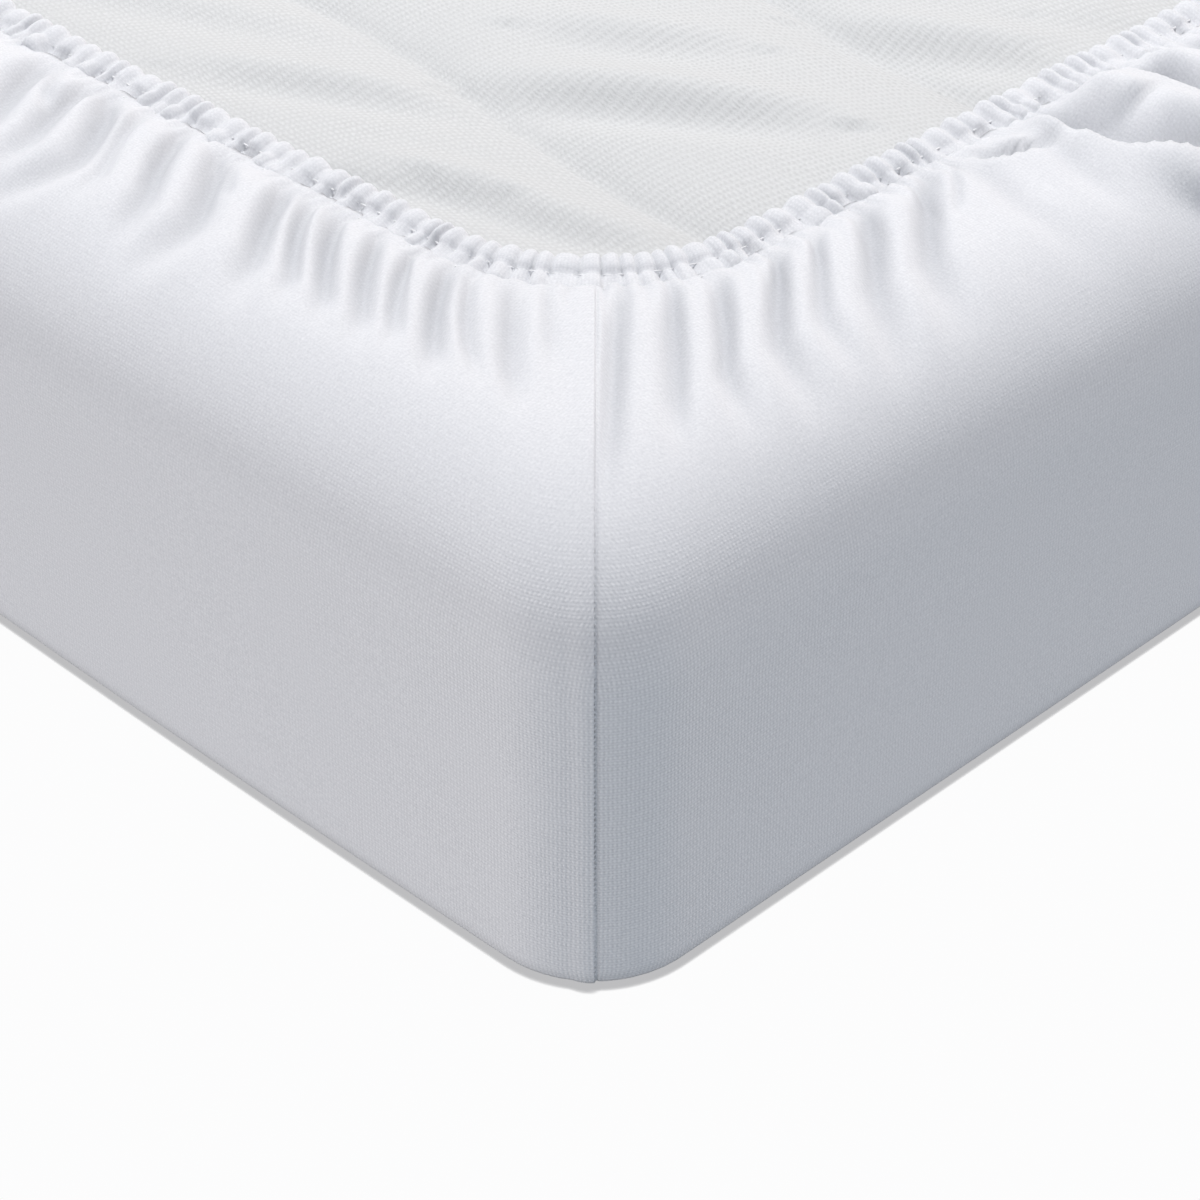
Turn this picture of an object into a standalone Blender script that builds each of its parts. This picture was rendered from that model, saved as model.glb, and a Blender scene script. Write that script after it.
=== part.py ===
# A fitted sheet on a small mattress that lies with its underside up, so that the elasticated
# hem of the sheet runs all round on the upper face. Metres, +Z up, length along X. The origin
# is at the middle of the face that lies on the floor.
import math
import random
from collections import namedtuple

import bmesh
import bpy
from mathutils import Matrix, Vector

# Outer size of the cloth
LENGTH = 1.200
WIDTH = 0.600
FLAP_TOP = 0.1195  # outer face of the cloth on the upper side, between its folds
CLOTH = 0.0016  # thickness of the knit

# Outer roundings of the cloth
LOWER_RADIUS = 0.009
SHOULDER_RADIUS = 0.030
SHOULDER_STEPS = (0, 22.5, 45, 67.5, 90)  # degrees
CORNER_RADIUS = 0.0287  # upright corners, seen from above
HEM_CORNER_RADIUS = 0.048

# Places on the upper side, as distances in from the side faces
FOLD_CROWN = 0.050
SECOND_STITCH_ROW = 0.063
FIRST_STITCH_ROW = 0.071
CASING_CROWN = 0.0765
HEM_LIP = 0.082
CASING_UNDERSIDE = 0.079
CASING_RISE = 0.0034  # top of the elastic casing above the flap
LIP_RISE = 0.0014
CASING_FLOOR = 0.1180  # underside of the casing

# Gathers, by their distance from a corner seam along the second stitch row
FOLD_PITCH = 0.0190
CORNER_FOLD_PITCH = 0.0105  # the small folds beside a corner seam
CORNER_FOLDS = 4
FOLD_HEIGHT = 0.0034
FOLD_VARIATION = 0.40  # share by which heights wander
FOLD_WANDER = 0.09  # share of the pitch by which places wander
FIRST_FOLD_SHARE = 0.35  # height of the fold beside a corner seam, as a share of the rest
FOLD_GROWTH = 0.20  # what each next fold adds to that share
FOLD_SEED = 11
LEAN_REACH = 0.250  # how far from a corner seam the folds still lean towards it

# The uneven folds at the +X -Y corner: the far foot of each, and the height of its crown
Fold = namedtuple("Fold", "foot height")
FRONT_FOLDS = (
    Fold(0.013, 0.0010),
    Fold(0.020, 0.0012),
    Fold(0.031, 0.0018),
    Fold(0.042, 0.0022),
    Fold(0.062, 0.0034),
    Fold(0.075, 0.0024),
    Fold(0.085, 0.0020),
    Fold(0.097, 0.0026),
    Fold(0.118, 0.0040),
    Fold(0.137, 0.0034),
    Fold(0.162, 0.0042),
    Fold(0.188, 0.0044),
)
END_FOLDS = (
    Fold(0.011, 0.0010),
    Fold(0.018, 0.0014),
    Fold(0.032, 0.0028),
    Fold(0.050, 0.0036),
    Fold(0.063, 0.0026),
    Fold(0.081, 0.0038),
    Fold(0.100, 0.0040),
    Fold(0.120, 0.0032),
    Fold(0.131, 0.0020),
    Fold(0.153, 0.0042),
    Fold(0.176, 0.0044),
    Fold(0.200, 0.0042),
)

# Corner seams: the cloth on one side laps over the next
LAP_HEIGHT = 0.0010
LAP_WIDTH = 0.0030
LAP_EDGE = 0.0008

# Slow unevenness of the side faces
SWELL_DEPTH = 0.0022
SWELL_CREST = (0.450, -0.300)  # where the front face stands out most
SWELL_LENGTHS = (0.50, 0.53)  # of its waves along X and Y
SWELL_LEAN = 0.70  # height over which a wave would shift by its length
SHOULDER_SWELL = 0.7  # share of the swell that reaches the shoulder

# Mattress
MATTRESS_GAP = 0.0003  # between the mattress and the cloth under it
MATTRESS_SIDE_GAP = 0.0004  # between the mattress and the tightest part of the cloth
MATTRESS_TOP = 0.1175
MATTRESS_EDGE_RADIUS = 0.034
MATTRESS_LOWER_BEVEL = 0.012
QUILT_PITCH = 0.100
QUILT_DEPTH = 0.0040
QUILT_FULLNESS = 0.7  # under 1 makes the channels rounder
QUILT_FIRST_SEAM = -0.161  # along Y
QUILT_WAVE_LENGTH = 0.312
QUILT_WAVE = 0.009
QUILT_WAVE_CREST = 0.349  # along X
QUILT_STEPS = 4  # grid rows in each channel
QUILT_COLUMN = 0.039

Row = namedtuple("Row", "place inset height tilt gather swell lap folded")
Station = namedtuple("Station", "corner distance rise lap folded")


def clear_scene():
    for old in list(bpy.data.objects):
        bpy.data.objects.remove(old, do_unlink=True)


def material(name, colour, roughness):
    made = bpy.data.materials.new(name)
    made.use_nodes = True
    shader = made.node_tree.nodes["Principled BSDF"]
    shader.inputs["Base Color"].default_value = (*colour, 1.0)
    shader.inputs["Roughness"].default_value = roughness
    shader.inputs["Metallic"].default_value = 0.0
    return made


def add_object(name, bm, finish):
    mesh = bpy.data.meshes.new(name)
    bm.to_mesh(mesh)
    bm.free()
    mesh.materials.append(finish)
    mesh.shade_smooth()
    mesh.set_sharp_from_angle(angle=math.radians(50.0))
    made = bpy.data.objects.new(name, mesh)
    bpy.context.scene.collection.objects.link(made)
    return made


# ---- Plan of the sheet: rounded rectangles, one inside the other -------------------------


def half_sides(corner):
    # Half lengths of the side that runs into a corner and of the side that leaves it
    pair = (LENGTH / 2, WIDTH / 2)
    return pair if corner % 2 == 0 else pair[::-1]


def plan_radius(inset):
    # The hem's rows run parallel, and outside them the corners tighten towards the shoulder
    if inset > SECOND_STITCH_ROW:
        return HEM_CORNER_RADIUS + HEM_LIP - inset
    stitched = HEM_CORNER_RADIUS + HEM_LIP - SECOND_STITCH_ROW
    share = max(inset - SHOULDER_RADIUS, 0.0) / (SECOND_STITCH_ROW - SHOULDER_RADIUS)
    return CORNER_RADIUS + (stitched - CORNER_RADIUS) * share


def run_length(half_side, inset):
    # From a corner seam to the middle of the side, along the rectangle at this inset
    radius = plan_radius(inset)
    return radius * math.pi / 4 + half_side - inset - radius


def distance_at(station, inset):
    # A fold crosses the hem squarely, and outside it leans towards the corner seam near it
    into, out = half_sides(station.corner)
    half_side = into if station.distance < 0 else out
    along = abs(station.distance)
    if inset > SECOND_STITCH_ROW:
        stitched_arc = plan_radius(SECOND_STITCH_ROW) * math.pi / 4
        arc = plan_radius(inset) * math.pi / 4
        along = min(along, stitched_arc) * arc / stitched_arc + max(along - stitched_arc, 0.0)
    else:
        run = run_length(half_side, SECOND_STITCH_ROW)
        ease = (1 - math.exp(-along / LEAN_REACH)) / (1 - math.exp(-run / LEAN_REACH))
        along += (run_length(half_side, inset) - run) * ease
    return math.copysign(along, station.distance)


def plan_point(station, inset):
    # Place of a station on the rectangle at this inset, and the outward direction there
    radius = plan_radius(inset)
    distance = distance_at(station, inset)
    arc = radius * math.pi / 4
    turn = max(-arc, min(arc, distance)) / radius - math.pi / 4
    outward = Vector((math.cos(turn), math.sin(turn)))
    beyond = distance - max(-arc, min(arc, distance))
    local = outward * radius + Vector((-outward.y, outward.x)) * beyond
    spin = Matrix.Rotation(station.corner * math.pi / 2, 2)
    sign_x = 1 if station.corner in (0, 1) else -1
    sign_y = 1 if station.corner in (1, 2) else -1
    centre = Vector((sign_x * (LENGTH / 2 - inset - radius), sign_y * (WIDTH / 2 - inset - radius)))
    return centre + spin @ local, spin @ outward


# ---- Stations round the hem: a foot and a crown for each fold ----------------------------


def small_folds(chance):
    # The first folds beside a plain corner seam
    found = []
    for fold in range(CORNER_FOLDS):
        height = FOLD_HEIGHT * (1 + FOLD_VARIATION * chance.uniform(-1, 1))
        height *= FIRST_FOLD_SHARE + FOLD_GROWTH * fold
        found.append(Fold((fold + 1) * CORNER_FOLD_PITCH, height))
    return found


def folds_on(corner, side, chance):
    # One half side, from its corner seam to the middle; side is -1 before the seam, 1 after
    into, out = half_sides(corner)
    run = run_length(into if side < 0 else out, SECOND_STITCH_ROW)
    if corner == 0:
        found = list(FRONT_FOLDS if side < 0 else END_FOLDS)
    else:
        found = small_folds(chance)
    start = found[-1].foot
    count = max(1, round((run - start) / FOLD_PITCH))
    pitch = (run - start) / count
    for fold in range(count):
        foot = start + pitch * (fold + 1)
        if fold < count - 1:
            foot += pitch * FOLD_WANDER * chance.uniform(-1, 1)
        found.append(Fold(foot, FOLD_HEIGHT * (1 + FOLD_VARIATION * chance.uniform(-1, 1))))
    return found


def fold_stations(corner, side, chance):
    found = []
    start = 0.0
    for fold in folds_on(corner, side, chance):
        crown = start + (fold.foot - start) * (0.5 + FOLD_WANDER * chance.uniform(-1, 1))
        found.append(Station(corner, side * crown, fold.height, 0.0, True))
        found.append(Station(corner, side * fold.foot, 0.0, 0.0, False))
        start = fold.foot
    return found


def stations():
    chance = random.Random(FOLD_SEED)
    ring = []
    for corner in range(4):
        before = fold_stations(corner, -1, chance)
        after = fold_stations(corner, 1, chance)
        ring += before[::-1]
        ring.append(Station(corner, -LAP_WIDTH, 0.0, 1.0, False))
        ring.append(Station(corner, 0.0, 0.0, 1.0, False))
        ring.append(Station(corner, LAP_EDGE, 0.0, 0.0, False))
        ring += after[:-1]  # the next corner's first station is the middle of this side
    return ring


# ---- Section of the sheet: rows from the floor, over the shoulder, to the hem and back ---


def face_rows(depth, lower_angles):
    # One face of the cloth, at this depth under its outer face, from the floor to the stitching
    lap = 1.0 if depth == 0 else 0.0
    rows = []
    radius = LOWER_RADIUS - depth
    for angle in lower_angles:
        inset = LOWER_RADIUS - radius * math.cos(math.radians(angle))
        height = LOWER_RADIUS + radius * math.sin(math.radians(angle))
        on_floor = angle == -90
        rows.append(Row("lower edge", inset, height, angle, 0.0, 1.0, 0.0 if on_floor else lap, False))
    radius = SHOULDER_RADIUS - depth
    for angle in SHOULDER_STEPS:
        inset = SHOULDER_RADIUS - radius * math.cos(math.radians(angle))
        height = FLAP_TOP - SHOULDER_RADIUS + radius * math.sin(math.radians(angle))
        top = angle == 90
        swell = SHOULDER_SWELL * math.cos(math.radians(angle))
        rows.append(Row("shoulder", inset, height, angle, 0.15 * top, swell, lap, top))
    height = FLAP_TOP - depth
    rows.append(Row("fold crown", FOLD_CROWN, height, 90, 1.0, 0.0, lap, True))
    rows.append(Row("second stitch row", SECOND_STITCH_ROW, height, 90, 0.55, 0.0, lap, True))
    return rows


def section():
    outer = face_rows(0.0, (-90, -45, 0))
    inner = face_rows(CLOTH, (-90, 0))
    casing = [
        Row("first stitch row", FIRST_STITCH_ROW, FLAP_TOP, 90, 0.30, 0.0, 0.0, True),
        Row("casing crown", CASING_CROWN, FLAP_TOP + CASING_RISE, 90, 0.25, 0.0, 0.0, True),
        Row("hem lip", HEM_LIP, FLAP_TOP + LIP_RISE, 90, 0.20, 0.0, 0.0, True),
        Row("casing underside", CASING_UNDERSIDE, CASING_FLOOR, 90, 0.0, 0.0, 0.0, True),
    ]
    return outer + casing + inner[::-1]


def swell_at(place, height):
    # Inward shift of a side face, from nothing to SWELL_DEPTH, slowly changing along the side
    lean = height / SWELL_LEAN
    along = math.cos(2 * math.pi * ((place.x - SWELL_CREST[0]) / SWELL_LENGTHS[0] + lean))
    across = math.cos(2 * math.pi * ((place.y - SWELL_CREST[1]) / SWELL_LENGTHS[1] - lean))
    return SWELL_DEPTH * (0.5 - 0.5 * along * across)


def sheet_point(row, station):
    place, outward = plan_point(station, row.inset)
    shift = -row.swell * swell_at(place, row.height)
    raised = row.lap * station.lap * LAP_HEIGHT
    shift += raised * math.cos(math.radians(row.tilt))
    height = row.height + raised * math.sin(math.radians(row.tilt)) + row.gather * station.rise
    place += outward * shift
    return place.x, place.y, height


def sheet_ring(bm, row, ring):
    # A vertex for each station, and None where this row has no folds and skips a crown
    made = []
    for station in ring:
        skipped = station.folded and not row.folded
        made.append(None if skipped else bm.verts.new(sheet_point(row, station)))
    return made


def join_rings(bm, first, second):
    shared = [i for i in range(len(first)) if first[i] and second[i]]
    for here, there in zip(shared, shared[1:] + [shared[0] + len(first)]):
        span = [i % len(first) for i in range(here, there + 1)]
        lower = [first[i] for i in span if first[i]]
        upper = [second[i] for i in span if second[i]]
        bm.faces.new(lower + upper[::-1])


def close_ring(bm, ring):
    # A flat panel inside a ring, as a fan round its middle
    panel = bm.faces.new([vert for vert in ring if vert])
    bmesh.ops.poke(bm, faces=[panel])


def add_fitted_sheet(finish):
    bm = bmesh.new()
    ring = stations()
    loops = [sheet_ring(bm, row, ring) for row in section()]
    for first, second in zip(loops, loops[1:]):
        join_rings(bm, first, second)
    close_ring(bm, loops[0][::-1])
    close_ring(bm, loops[-1])
    bmesh.ops.triangulate(bm, faces=bm.faces, quad_method="SHORT_EDGE", ngon_method="BEAUTY")
    bmesh.ops.recalc_face_normals(bm, faces=bm.faces)
    return add_object("fitted_sheet", bm, finish)


# ---- Mattress: a rounded block whose upper face is quilted in wavy channels ---------------


def quilt_wave(x):
    return QUILT_WAVE * math.cos(2 * math.pi * (x - QUILT_WAVE_CREST) / QUILT_WAVE_LENGTH)


def quilt_drop(y):
    # Depth under the channels' crowns, before the seams are waved
    share = (y - QUILT_FIRST_SEAM) / QUILT_PITCH % 1.0
    return QUILT_DEPTH * (1 - math.sin(math.pi * share) ** QUILT_FULLNESS)


def cut_grid(bm, axis, places):
    for place in places:
        level = [f for f in bm.faces if f.normal.z > 0.999]
        level += [e for f in level for e in f.edges] + [v for f in level for v in f.verts]
        point = Vector((0, 0, 0))
        point[axis] = place
        normal = Vector((0, 0, 0))
        normal[axis] = 1
        bmesh.ops.bisect_plane(bm, geom=list(dict.fromkeys(level)), plane_co=point, plane_no=normal)


def add_mattress(finish):
    inset = CLOTH + SWELL_DEPTH + MATTRESS_SIDE_GAP
    bottom = CLOTH + MATTRESS_GAP
    size = Vector((LENGTH - 2 * inset, WIDTH - 2 * inset, MATTRESS_TOP - bottom))
    bm = bmesh.new()
    middle = Matrix.Translation((0, 0, bottom + size.z / 2))
    bmesh.ops.create_cube(bm, size=1.0, matrix=middle @ Matrix.Diagonal((*size, 1.0)))
    low = [e for e in bm.edges if all(v.co.z < size.z / 2 for v in e.verts)]
    soft = [e for e in bm.edges if e not in low]
    bmesh.ops.bevel(bm, geom=soft, offset=MATTRESS_EDGE_RADIUS, segments=4, profile=0.5,
                    affect="EDGES")
    low = [e for e in bm.edges if all(v.co.z < bottom + 1e-6 for v in e.verts)]
    bmesh.ops.bevel(bm, geom=low, offset=MATTRESS_LOWER_BEVEL, segments=2, profile=0.5,
                    affect="EDGES")
    flat_x = size.x / 2 - MATTRESS_EDGE_RADIUS
    flat_y = size.y / 2 - MATTRESS_EDGE_RADIUS
    columns = round(2 * flat_x / QUILT_COLUMN)
    cut_grid(bm, 0, [flat_x * (2 * i / columns - 1) for i in range(1, columns)])
    step = QUILT_PITCH / QUILT_STEPS
    first = QUILT_FIRST_SEAM - QUILT_PITCH
    rows = [first + step * i for i in range(round(2 * flat_y / step) + 1)]
    room = QUILT_WAVE + step / 4
    cut_grid(bm, 1, [y for y in rows if abs(y) < flat_y - room])
    for vert in bm.verts:
        on_top = vert.co.z > MATTRESS_TOP - 1e-6
        inside = abs(vert.co.x) < flat_x - 1e-4 and abs(vert.co.y) < flat_y - 1e-4
        if on_top and inside:
            drop = quilt_drop(vert.co.y)
            vert.co.y += quilt_wave(vert.co.x)
            vert.co.z -= drop
    return add_object("mattress", bm, finish)


def main():
    clear_scene()
    add_fitted_sheet(material("white knit", (0.84, 0.85, 0.88), 0.92))
    add_mattress(material("towelling knit", (0.78, 0.79, 0.77), 0.95))


main()
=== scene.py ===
import math
import random

import bpy
import numpy as np
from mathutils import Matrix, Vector


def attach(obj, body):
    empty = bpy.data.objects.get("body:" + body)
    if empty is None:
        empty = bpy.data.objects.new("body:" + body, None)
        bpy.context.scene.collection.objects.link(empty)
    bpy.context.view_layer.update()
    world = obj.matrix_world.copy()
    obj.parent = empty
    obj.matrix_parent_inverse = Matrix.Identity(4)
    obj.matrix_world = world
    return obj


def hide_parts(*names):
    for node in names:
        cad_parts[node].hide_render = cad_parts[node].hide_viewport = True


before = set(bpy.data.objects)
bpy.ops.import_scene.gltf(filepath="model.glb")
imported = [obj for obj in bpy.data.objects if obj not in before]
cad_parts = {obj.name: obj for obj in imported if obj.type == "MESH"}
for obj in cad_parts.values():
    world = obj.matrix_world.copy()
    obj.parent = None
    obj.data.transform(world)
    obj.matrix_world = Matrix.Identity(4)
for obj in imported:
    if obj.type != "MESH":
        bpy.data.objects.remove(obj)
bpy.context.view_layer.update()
print("frame loaded")

# The sheet lies round a mattress whose underside is up. Metres, +Z up, length along X.
sheetPlan = {
    "length": 1.200,
    "width": 0.600,
    "flapTop": 0.1195,  # outer face of the cloth between its folds
    "clothThickness": 0.0014,
    "lowerRadius": 0.009,
    "shoulderRadius": 0.038,
    "cornerRadius": 0.0287,  # upright corners, seen from above
    "lipCornerRadius": 0.048,
    "outerStitchInset": 0.063,  # in from the side faces: the hem's plan is laid out from here
    "gatherInset": 0.0675,  # where the outer row of stitches gathers the cloth
    "lipInset": 0.082,
    "leanReach": 0.250,  # how far from a corner seam the folds lean towards it
}
stitchInset = sheetPlan["outerStitchInset"]


# ---- small helpers for node trees and meshes

def addNode(tree, kind, inputs=None, **settings):
    node = tree.nodes.new(kind)
    for name, value in settings.items():
        setattr(node, name, value)
    for key, value in (inputs or {}).items():
        if isinstance(value, bpy.types.NodeSocket):
            tree.links.new(value, node.inputs[key])
        else:
            node.inputs[key].default_value = value
    return node


def calc(tree, operation, *values):
    # One math node, and its result
    return addNode(tree, "ShaderNodeMath", dict(enumerate(values)), operation=operation).outputs[0]


def meshObject(name, points, faces, material):
    mesh = bpy.data.meshes.new(name)
    mesh.from_pydata([tuple(point) for point in points], [], faces)
    mesh.materials.append(material)
    mesh.shade_smooth()
    return meshHeld(name, mesh)


def giveUv(made, pairs):
    # pairs holds one (u, v) in metres for each vertex
    layer = made.data.uv_layers.new(name="cloth")
    corners = np.empty(len(made.data.loops), np.int32)
    made.data.loops.foreach_get("vertex_index", corners)
    layer.data.foreach_set("uv", np.asarray(pairs, np.float32)[corners].ravel())


def storeValues(mesh, name, values):
    # One number at each vertex, for a material or a node tree
    layer = mesh.attributes.new(name, "FLOAT", "POINT")
    layer.data.foreach_set("value", np.asarray(values, np.float32))


def meshHeld(name, mesh):
    # An object in the scene that holds this mesh
    made = bpy.data.objects.new(name, mesh)
    bpy.context.scene.collection.objects.link(made)
    return made


def joinLoops(faces, first, second):
    # Four-sided faces between two closed loops of as many vertices
    for k in range(len(first)):
        n = (k + 1) % len(first)
        faces.append((first[k], second[k], second[n], first[n]))


def product(tree, first, *parts):
    for part in parts:
        first = calc(tree, "MULTIPLY", first, part)
    return first


def usable(sockets, name):
    # The socket of this name that the node's present settings use
    return [one for one in sockets if one.name == name and one.enabled][0]


def scaled(tree, vector, share):
    node = addNode(tree, "ShaderNodeVectorMath", {0: vector, "Scale": share}, operation="SCALE")
    return node.outputs[0]


def mixed(tree, share, first, second, **settings):
    # A colour between two others
    node = addNode(tree, "ShaderNodeMix", {0: share, 6: first, 7: second}, data_type="RGBA", **settings)
    return node.outputs[2]


def objectNoise(tree, place, scale, detail, **inputs):
    # Noise on Object coordinates
    given = {"Vector": place.outputs["Object"], "Scale": scale, "Detail": detail, **inputs}
    return addNode(tree, "ShaderNodeTexNoise", given)


def smoothStep(low, high, value):
    share = np.clip((value - low) / (high - low), 0.0, 1.0)
    return share * share * (3 - 2 * share)


# ---- camera, at the viewing angle of the photograph

cameraView = {
    "lens": 99.78,
    "sensor": 36.0,
    "pitchDown": 35.37,
    "azimuth": 45.0,
    "corner": (0.6, -0.3),  # the corner of the mattress that is seen
    "sideways": 0.0011,
    "back": 0.5385,
    "height": 0.5012,
}


def makeCamera():
    data = bpy.data.cameras.new("camera")
    data.lens = cameraView["lens"]
    data.sensor_width = cameraView["sensor"]
    data.clip_start = 0.02
    data.clip_end = 60.0
    camera = bpy.data.objects.new("camera", data)
    bpy.context.scene.collection.objects.link(camera)
    turn = math.radians(cameraView["azimuth"])
    side, back = cameraView["sideways"], cameraView["back"]
    camera.location = (
        cameraView["corner"][0] + side * math.cos(turn) + back * math.sin(turn),
        cameraView["corner"][1] + side * math.sin(turn) - back * math.cos(turn),
        cameraView["height"],
    )
    camera.rotation_euler = (math.radians(90 - cameraView["pitchDown"]), 0, turn)
    bpy.context.scene.camera = camera


# ---- materials

jerseyLook = {
    "colour": (0.872, 0.885, 0.918),
    "shade": (0.30, 0.32, 0.36),  # between the stitches
    # waves of the knit: how many a millimetre across and along, and how strong
    "waves": ((0.96, 0.0, 0.30), (0.0, 0.86, 0.14), (0.96, 0.86, 0.17), (0.96, -0.86, 0.13),
              (0.0, 1.72, 0.26)),
    "wobble": (0.0008, 0.0006),  # sideways wander of the stitches
    "openness": "knitOpen",  # attribute: how far the gaps between the stitches show
    "tone": 0.83,  # how far the whole cloth lies towards its colour
    "depth": 0.00022,
    "fuzzDepth": 0.00007,
    "paintedCreaseShade": (0.009, 0.30),  # painted shade in creases and hollows: how far off nearby cloth darkens the colour, and how much
    "foldPaintedShade": (0.190, 0.185, 0.176),  # painted shade: how much darker the colour is made at the bottoms of the folds
    "roughness": 0.92,
}

towelLook = {
    "colour": (0.768, 0.782, 0.794),
    "shade": (0.36, 0.37, 0.37),
    "waves": ((0.127, 0.654, 0.13), (0.36, -0.12, 0.12), (0.486, 0.53, 0.08)),
    "wobble": (0.0022, 0.0018),
    "openness": None,
    "tone": 0.74,
    "depth": 0.00030,
    "fuzzDepth": 0.00018,
    "paintedCreaseShade": None,
    "foldPaintedShade": None,
    "roughness": 0.95,
}

threadLook = {
    "colour": (0.88, 0.89, 0.91),
    "twist": 0.0005,
    "twistDepth": 0.00005,
    "roughness": 0.6,
}

# what the knits share
clothFinish = {
    "sheen": 0.12,
    "sheenRoughness": 0.6,
    "specular": 0.15,
    "wobbleScale": 240.0,
    "fuzzScale": 1500.0,
    "fuzzTone": 0.45,
    "wornScale": 38.0,
    "wornFrom": (0.35, 0.65),
    "wornTo": (0.65, 1.0),
}


def newMaterial(name):
    material = bpy.data.materials.new(name)
    material.use_nodes = True
    return material, material.node_tree, material.node_tree.nodes["Principled BSDF"]


def knitHeight(tree, waves, across, along):
    # From 0 in the gaps between the stitches to 1 on the yarn
    total = None
    for wide, high, strength in waves:
        phase = calc(tree, "MULTIPLY", across, wide * 2000 * math.pi)
        phase = calc(tree, "MULTIPLY_ADD", along, high * 2000 * math.pi, phase)
        wave = calc(tree, "MULTIPLY", calc(tree, "COSINE", phase), 0.5 * strength)
        total = wave if total is None else calc(tree, "ADD", total, wave)
    return calc(tree, "ADD", total, 0.5)


def knitMaterial(name, look):
    material, tree, shader = newMaterial(name)
    shader.inputs["Roughness"].default_value = look["roughness"]
    finish = clothFinish
    shader.inputs["Sheen Weight"].default_value = finish["sheen"]
    shader.inputs["Sheen Roughness"].default_value = finish["sheenRoughness"]
    shader.inputs["Specular IOR Level"].default_value = finish["specular"]
    place = addNode(tree, "ShaderNodeTexCoord")
    split = addNode(tree, "ShaderNodeSeparateXYZ", {0: place.outputs["UV"]})
    wobble = objectNoise(tree, place, finish["wobbleScale"], 2.0)
    across = calc(tree, "MULTIPLY_ADD", wobble.outputs[0], look["wobble"][0], split.outputs["X"])
    along = calc(tree, "MULTIPLY_ADD", wobble.outputs["Color"], look["wobble"][1], split.outputs["Y"])
    knit = knitHeight(tree, look["waves"], across, along)
    fuzz = objectNoise(tree, place, finish["fuzzScale"], 3.0, Roughness=0.6)
    worn = objectNoise(tree, place, finish["wornScale"], 4.0)
    (fromMin, fromMax), (toMin, toMax) = finish["wornFrom"], finish["wornTo"]
    strength = addNode(tree, "ShaderNodeMapRange",
                       {"Value": worn.outputs[0], "From Min": fromMin, "From Max": fromMax,
                        "To Min": toMin, "To Max": toMax})
    openness = strength.outputs[0]
    if look["openness"]:
        stretched = addNode(tree, "ShaderNodeAttribute", attribute_name=look["openness"])
        openness = calc(tree, "MULTIPLY", openness, stretched.outputs["Fac"])
    # Where the knit is dense its gaps close, and the cloth shows one even tone
    relief = calc(tree, "MULTIPLY", calc(tree, "SUBTRACT", knit, 0.5), openness)
    height = calc(tree, "MULTIPLY", relief, look["depth"])
    height = calc(tree, "MULTIPLY_ADD", fuzz.outputs[0], look["fuzzDepth"], height)
    bump = addNode(tree, "ShaderNodeBump", {"Height": height, "Distance": 1.0, "Strength": 1.0})
    tree.links.new(bump.outputs[0], shader.inputs["Normal"])
    share = calc(tree, "ADD", relief, look["tone"])
    grain = calc(tree, "MULTIPLY", calc(tree, "SUBTRACT", fuzz.outputs[0], 0.5), finish["fuzzTone"])
    share = calc(tree, "ADD", share, grain)
    colour = mixed(tree, share, (*look["shade"], 1), (*look["colour"], 1), clamp_factor=True)
    # Painted shade: the colour is darkened where other cloth is near, in creases and hollows
    if look["paintedCreaseShade"]:
        reach, most = look["paintedCreaseShade"]
        near = addNode(tree, "ShaderNodeAmbientOcclusion", {"Distance": reach}, samples=6)
        share = calc(tree, "MULTIPLY_ADD", near.outputs["AO"], most, 1 - most)
        colour = scaled(tree, colour, share)
    # Painted shade: the colour is darkened along the bottoms of the folds, as the foldShade attribute says
    if look["foldPaintedShade"]:
        paintedShading = addNode(tree, "ShaderNodeAttribute", attribute_name="foldShade")
        less = tuple(-value for value in look["foldPaintedShade"])
        shares = addNode(tree, "ShaderNodeVectorMath",
                         {0: paintedShading.outputs["Fac"], 1: less, 2: (1, 1, 1)}, operation="MULTIPLY_ADD")
        colour = addNode(tree, "ShaderNodeVectorMath", {0: colour, 1: shares.outputs[0]},
                         operation="MULTIPLY").outputs[0]
    tree.links.new(colour, shader.inputs["Base Color"])
    return material


def threadMaterial(name, look):
    material, tree, shader = newMaterial(name)
    shader.inputs["Base Color"].default_value = (*look["colour"], 1)
    shader.inputs["Roughness"].default_value = look["roughness"]
    place = addNode(tree, "ShaderNodeTexCoord")
    given = {"Vector": place.outputs["Object"], "Scale": 1.0 / look["twist"] / 20, "Distortion": 0.4}
    twist = addNode(tree, "ShaderNodeTexWave", given, bands_direction="DIAGONAL")
    bump = addNode(tree, "ShaderNodeBump", {"Height": twist.outputs["Fac"], "Distance": look["twistDepth"]})
    tree.links.new(bump.outputs[0], shader.inputs["Normal"])
    return material


# ---- plan of the sheet: rounded rectangles, one inside the other

def cornerRadius(inset):
    # The hem's rows run parallel, and outside them the corners tighten towards the shoulder
    lip, shoulder = sheetPlan["lipInset"], sheetPlan["shoulderRadius"]
    if inset > stitchInset:
        return sheetPlan["lipCornerRadius"] + lip - inset
    stitched = sheetPlan["lipCornerRadius"] + lip - stitchInset
    share = max(inset - shoulder, 0.0) / (stitchInset - shoulder)
    return sheetPlan["cornerRadius"] + (stitched - sheetPlan["cornerRadius"]) * share


def runLength(halfSide, inset):
    # From a corner seam to the middle of the side, along the rectangle at this inset
    radius = cornerRadius(inset)
    return radius * math.pi / 4 + halfSide - inset - radius


def halfSides(corner):
    pair = (sheetPlan["length"] / 2, sheetPlan["width"] / 2)
    return pair if corner % 2 == 0 else pair[::-1]


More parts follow.
